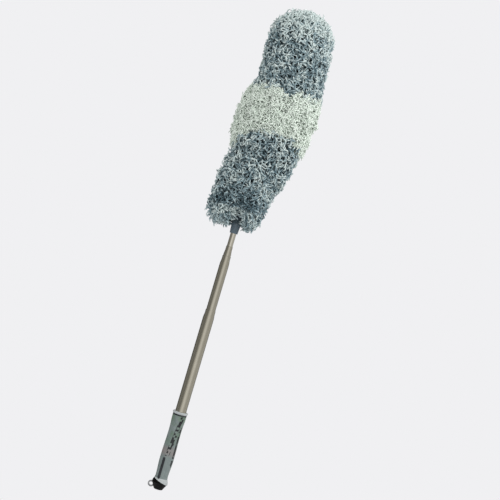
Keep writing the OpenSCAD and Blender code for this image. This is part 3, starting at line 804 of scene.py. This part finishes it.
def depthOf(points, surface, sizes):
    # how far out each point is, from 0 at the core to 1 at the surface of the fluff
    turn = np.arctan2(points[:, 1], points[:, 0] - coreX(points[:, 2]))
    middle = surface[:, :, 2].mean(1)
    ring = np.interp(points[:, 2], middle, range(len(middle))).round().astype(int)
    spoke = (turn / (2 * math.pi) * surface.shape[1]).round().astype(int) % surface.shape[1]
    edge = surface[ring, spoke]
    out = np.hypot(points[:, 0] - coreX(points[:, 2]), points[:, 1])
    far = np.hypot(edge[:, 0] - coreX(edge[:, 2]), edge[:, 1])
    return np.clip(out / np.maximum(far, sizes["shortestReach"]), 0, 1.1)


def markPoints(mesh, values):
    # what the yarn's colour reads, and where each point was at rest, for fluff that bends
    for key, numbers in values.items():
        numbers = np.asarray(numbers, np.float32)
        mesh.attributes.new(key, "FLOAT", "POINT").data.foreach_set("value", numbers)
    places = np.empty(len(mesh.vertices) * 3, np.float32)
    mesh.vertices.foreach_get("co", places)
    mesh.attributes.new("restPlace", "FLOAT_VECTOR", "POINT").data.foreach_set("vector", places)


def fluffPiece(name, members, surface, material, sizes):
    # one band of fluff: its tufts as a single mesh, marked for the colour and mapped for the bake
    points, faces, uvs, along, shade = [], [], [], [], []
    offset = strand = 0
    perTuft = 1 + tuftSizes["curls"]
    grid = math.ceil(math.sqrt(len(members) * perTuft))
    for tuft in members:
        model = tuft["model"]
        points.append(tuft["points"])
        along.append(np.maximum(model["along"], 0))
        shade.append(tuft["shades"][model["strand"].astype(int)])
        for kind in ("quads", "tris"):
            faces += (model[kind] + offset).tolist()
        cell = strand + model["cells"]
        corner = np.stack([cell % grid, cell // grid], 1)
        uvs.append((model["uv"] * sizes["cellFill"] + sizes["cellMargin"] + corner) / grid)
        offset += len(model["points"])
        strand += perTuft
    points = np.concatenate(points)
    mesh = bpy.data.meshes.new(name)
    mesh.from_pydata(points.tolist(), [], faces)
    markPoints(mesh, {"along": np.concatenate(along), "shade": np.concatenate(shade),
                      "depth": depthOf(points, surface, sizes)})
    uvs = np.concatenate(uvs).astype(np.float32)
    mesh.uv_layers.new(name="OFBake").data.foreach_set("uv", uvs.ravel())
    mesh.polygons.foreach_set("use_smooth", [True] * len(mesh.polygons))
    mesh.materials.append(material)
    return newObject(name, mesh)


fluffColours = {
    # from deep among the strands to their tips: the darker deep colours are painted shade
    "grey": [(0.0, "#12222b"), (0.45, "#243841"), (0.66, "#506a73"), (0.84, "#94aab0"),
             (1.0, "#d3e0de")],
    "white": [(0.0, "#d3dfd3"), (0.45, "#dbe6db"), (0.68, "#e4eee4"), (0.84, "#eaf4ea"),
              (1.0, "#eef7ee")],
    "patches": {"From Min": 0.32, "From Max": 0.68, "To Min": -0.13, "To Max": 0.13},
    # by height: the foot is darker, and the crown is made paler with painted light
    "darkerFoot": {"From Min": 0.46, "From Max": 0.56, "To Min": -0.13, "To Max": 0.0},
    "paleCrownLight": {"From Min": 0.785, "From Max": 0.85, "To Max": 0.2},
}


def twistedYarn(name, stops, tones):
    # soft twisted microfibre yarn: matt, darkened with painted shade deep among the strands, pale with a
    # soft sheen at its tips
    material, tree, shader = newMaterial(
        name, Roughness=0.85, Sheen_Weight=0.25, Sheen_Roughness=0.5, IOR=1.45)
    along, depth, shade, place = [addNode(tree, "ShaderNodeAttribute", {"attribute_name": key})
                                  for key in ("along", "depth", "shade", "restPlace")]
    patchy = addNode(tree, "ShaderNodeTexNoise", {"Scale": 45.0, "Detail": 2.0},
                     {"Vector": place.outputs["Vector"]})
    fibres = addNode(tree, "ShaderNodeTexNoise", {"Scale": 1800.0, "Detail": 1.0},
                     {"Vector": place.outputs["Vector"]})
    height = addNode(tree, "ShaderNodeSeparateXYZ", links={0: place.outputs["Vector"]})
    # painted shade: the deeper among the strands and the nearer the root, the darker the colour
    far = addNode(tree, "ShaderNodeMath", {"operation": "MULTIPLY", 1: 0.66},
                  {0: depth.outputs["Fac"]})
    near = addNode(tree, "ShaderNodeMath", {"operation": "MULTIPLY_ADD", 1: 0.36},
                   {0: along.outputs["Fac"], 2: far})
    odd = addNode(tree, "ShaderNodeMapRange", {"To Min": -0.06, "To Max": 0.05},
                  {"Value": shade.outputs["Fac"]})
    patch = addNode(tree, "ShaderNodeMapRange", tones["patches"], {"Value": patchy})
    # darker towards the foot
    footDarkening = addNode(tree, "ShaderNodeMapRange", tones["darkerFoot"], {"Value": height.outputs["Z"]})
    # painted light: the crown is made paler
    crownLight = addNode(tree, "ShaderNodeMapRange", tones["paleCrownLight"], {"Value": height.outputs["Z"]})
    tone = near
    for part in (odd, patch, footDarkening, crownLight):
        tone = addNode(tree, "ShaderNodeMath", {"operation": "ADD"}, {0: tone, 1: part})
    ramp = rampStops(addNode(tree, "ShaderNodeValToRGB", links={"Fac": tone}), stops)
    bump = addNode(tree, "ShaderNodeBump", {"Strength": 0.3, "Distance": 0.0003},
                   {"Height": fibres})
    feed(tree, shader, {"Base Color": ramp, "Normal": bump})
    return material


def makeUnderpile(name, surface, low, high, material, sizes):
    rings, spokes, _ = surface.shape
    middle = np.stack([coreX(surface[..., 2]), 0 * surface[..., 2], surface[..., 2]], -1)
    lumps = np.array([[clumpAt(tip, planting) for tip in ring] for ring in surface])[..., None]
    skin = middle + (surface - middle) * (sizes["out"] + lumps)
    faces = []
    for r in range(rings - 1):
        for s in range(spokes):
            corners = [(r, s), (r, (s + 1) % spokes), (r + 1, (s + 1) % spokes), (r + 1, s)]
            place = sum(surface[c] for c in corners) / 4
            white = isWhite(rootHeight(place, planting) + sizes["underGrey"])
            if white and low < place[2] < high:
                faces.append([a * spokes + b for a, b in corners])
    mesh = bpy.data.meshes.new(name)
    mesh.from_pydata(skin.reshape(-1, 3).tolist(), [], faces)
    piece = newObject(name, mesh)
    selectOnly(piece)
    bpy.ops.object.mode_set(mode="EDIT")
    bpy.ops.mesh.select_all(action="SELECT")
    bpy.ops.mesh.delete_loose()
    bpy.ops.object.mode_set(mode="OBJECT")
    thick = piece.modifiers.new("thick", "SOLIDIFY")
    thick.thickness = sizes["thickness"]
    thick.offset = -1
    smooth = piece.modifiers.new("smooth", "SUBSURF")
    smooth.levels = smooth.render_levels = 2
    for modifier in ("thick", "smooth"):
        bpy.ops.object.modifier_apply(modifier=modifier)
    bpy.ops.object.shade_smooth()
    normals = [v.normal.copy() for v in mesh.vertices]
    for v, normal in zip(mesh.vertices, normals):
        v.co += normal * sizes["grainHeight"] * noise.noise(v.co / sizes["grainSize"])
    shade = np.random.default_rng(sizes["seed"]).uniform(0, 1, len(mesh.vertices))
    markPoints(mesh, {"along": 0 * shade + sizes["along"], "shade": shade,
                      "depth": 0 * shade + sizes["depth"]})
    mesh.materials.append(material)
    return piece


def makeFluff():
    surface = fluffSurface(fluff)
    planted = plantTufts(surface, planting)
    grey = twistedYarn("greyMicrofibreYarn", fluffColours["grey"], fluffColours)
    white = twistedYarn("whiteMicrofibreYarn", fluffColours["white"], fluffColours)
    rootCut, middleCut, topCut = core["partings"]
    rootBend, lowerBend, upperBend, _ = core["stretches"]
    # name, CAD node, lowest and highest root, yarn, slot, bend
    bands = [
        ("fluffGreyFoot", "pile_lower", 0.0, rootCut, grey, "pile_grey", rootBend),
        ("fluffGreyLow", "pile_lower", rootCut, whiteLow, grey, "pile_grey", lowerBend),
        ("fluffWhiteFoot", "pile_middle", whiteLow, 0.630, white, "pile_white", lowerBend),
        ("fluffWhiteLow", "pile_middle", 0.630, middleCut, white, "pile_white", lowerBend),
        ("fluffWhiteHigh", "pile_middle", middleCut, 0.684, white, "pile_white", upperBend),
        ("fluffWhiteTop", "pile_middle", 0.684, whiteHigh, white, "pile_white", upperBend),
        ("fluffGreyHigh", "pile_upper", whiteHigh, topCut, grey, "pile_grey", upperBend),
        ("fluffGreyCrown", "pile_upper", topCut, 0.804, grey, "pile_grey", None),
        ("fluffGreyTop", "pile_upper", 0.804, 1.0, grey, "pile_grey", None),
    ]
    for name, stoodFor, low, high, yarn, slot, bend in bands:
        members = [t for t in planted if low <= t["root"] < high]
        piece = fluffPiece(name, members, surface, yarn, planting)
        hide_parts(stoodFor)
        attach(piece, bend)
        print("planted", name, len(members), "tufts")
    for name, low, high, bend in (("underpileLow", 0.0, middleCut, lowerBend),
                                  ("underpileHigh", middleCut, 1.0, upperBend)):
        piece = makeUnderpile(name, surface, low, high, white, underpile)
        attach(piece, bend)


makeFluff()
print("fluff planted")


# ---- the knitted sleeve that carries the fluff, and the foam in it

sleeveSizes = {
    "names": ["sleeveFoot", "sleeveLow", "sleeveHigh", "sleeveTop"],
    "sides": 48,
    "hemRadius": 0.0093,       # gathered on the ferrule
    "hemHeight": 0.009,
    "hemBelow": 0.004,         # metres that the sleeve runs down past its hem
    "gathers": 14,
    "gatherDepth": 0.05,
    "crownHeight": 0.014,      # metres over which it rounds off at the top
    "crownReach": 0.0142,
    "tipShare": 0.02,          # share of its radius that is left at the very top
}

foamSizes = {
    "names": ["foamLow", "foamMiddle", "foamHigh", "foamTop"],
    "nodes": ["foam_lower", "foam_middle", "foam_upper", "foam_upper"],
    "sides": 40,
    "foot": 0.4932,
    "top": 0.808,
}


def coreTube(name, zLow, zHigh, radius, sides):
    # a tube along the core: a cylinder cut into rings, each ring then moved onto the core
    bpy.ops.object.select_all(action="DESELECT")
    bpy.ops.mesh.primitive_cylinder_add(vertices=sides, radius=radius, depth=zHigh - zLow,
                                        location=(0, 0, (zLow + zHigh) / 2), end_fill_type="NGON")
    tube = bpy.context.object
    tube.name = name
    bpy.ops.object.transform_apply(location=True, rotation=True, scale=True)
    bpy.ops.object.mode_set(mode="EDIT")
    for cut in range(1, int((zHigh - zLow) / core["ringGap"])):
        bpy.ops.mesh.select_all(action="SELECT")
        bpy.ops.mesh.bisect(plane_co=(0, 0, zLow + cut * core["ringGap"]), plane_no=(0, 0, 1))
    bpy.ops.object.mode_set(mode="OBJECT")
    return tube


def ontoCore(tube, radiusAt=None):
    for v in tube.data.vertices:
        if radiusAt:
            factor = radiusAt(v.co.z, math.atan2(v.co.y, v.co.x))
            v.co.x *= factor
            v.co.y *= factor
        v.co.x += coreX(v.co.z)


def knittedCloth(name, colour, darker):
    # knitted polyester backing: rows of small loops, matt, with painted shade in the hollows between the
    # rows
    material, tree, shader = newMaterial(name, Roughness=0.9, Sheen_Weight=0.15)
    place = addNode(tree, "ShaderNodeTexCoord").outputs["Object"]
    rows = addNode(tree, "ShaderNodeTexWave",
                   {"wave_type": "BANDS", "bands_direction": "Z", "Scale": 250.0,
                    "Distortion": 1.5}, {"Vector": place})
    # painted shade: the colour darkens where the rows' bump sinks
    tint = addNode(tree, "ShaderNodeMix",
                   {"data_type": "RGBA", 6: toLinear(darker), 7: toLinear(colour)},
                   {0: rows.outputs["Fac"]})
    bump = addNode(tree, "ShaderNodeBump", {"Strength": 0.5, "Distance": 0.0005},
                   {"Height": rows.outputs["Fac"]})
    feed(tree, shader, {"Base Color": tint.outputs[2], "Normal": bump})
    return material


def openCellFoam():
    # soft polyether foam: off-white, pitted with open cells about a millimetre across, with painted shade in
    # the pits
    material, tree, shader = newMaterial("openCellFoam", Roughness=0.95)
    place = addNode(tree, "ShaderNodeTexCoord").outputs["Object"]
    cells = addNode(tree, "ShaderNodeTexVoronoi", {"Scale": 900.0}, {"Vector": place})
    # painted shade: the colour darkens in the pits that the bump sinks
    tint = rampStops(addNode(tree, "ShaderNodeValToRGB", links={"Fac": cells}),
                     [(0.0, "#b9bab4"), (0.6, "#dddeda")])
    bump = addNode(tree, "ShaderNodeBump", {"Strength": 0.6, "Distance": 0.0008}, {"Height": cells})
    feed(tree, shader, {"Base Color": tint, "Normal": bump})
    return material


def makeSleeve(sizes):
    greyCloth = knittedCloth("greyKnittedBacking", "#46555d", "#2c383f")
    whiteCloth = knittedCloth("whiteKnittedBacking", "#c3cbc1", "#9aa399")
    hem, top, full = core["hem"], core["top"][1], core["sleeveRadius"]
    foot = hem - sizes["hemBelow"]
    crown = top - sizes["crownHeight"]

    def sleeveRadius(z, turn):
        # gathered at the hem, even along the head, rounded off at the top
        if z < hem + sizes["hemHeight"]:
            share = max(0.0, (z - foot) / (sizes["hemHeight"] + sizes["hemBelow"]))
            gathered = 1 + sizes["gatherDepth"] * math.sin(sizes["gathers"] * turn) * (1 - share)
            return (sizes["hemRadius"] + (full - sizes["hemRadius"]) * share) / full * gathered
        if z > crown:
            rounded = math.sqrt(max(0.0, 1 - ((z - crown) / sizes["crownReach"]) ** 2))
            return rounded * (1 - sizes["tipShare"]) + sizes["tipShare"]
        return 1.0

    heights = [foot, *core["partings"], top]
    for name, low, high, bend in zip(sizes["names"], heights, heights[1:], core["stretches"]):
        tube = coreTube(name, low, high, full, sizes["sides"])
        ontoCore(tube, sleeveRadius)
        tube.data.materials.append(greyCloth)
        tube.data.materials.append(whiteCloth)
        for face in tube.data.polygons:
            face.material_index = 1 if isWhite(face.center.z) else 0
        smoothByAngle(tube, core["sharpAngle"])
        attach(tube, bend)


def makeFoam(sizes):
    foam = openCellFoam()
    heights = [sizes["foot"], *core["partings"], sizes["top"]]
    for name, node, low, high, bend in zip(sizes["names"], sizes["nodes"], heights, heights[1:],
                                           core["stretches"]):
        rod = coreTube(name, low, high, core["foamRadius"], sizes["sides"])
        ontoCore(rod)
        rod.data.materials.append(foam)
        smoothByAngle(rod, core["sharpAngle"])
        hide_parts(node)
        attach(rod, bend)


makeSleeve(sleeveSizes)
makeFoam(foamSizes)
print("sleeve and foam made")
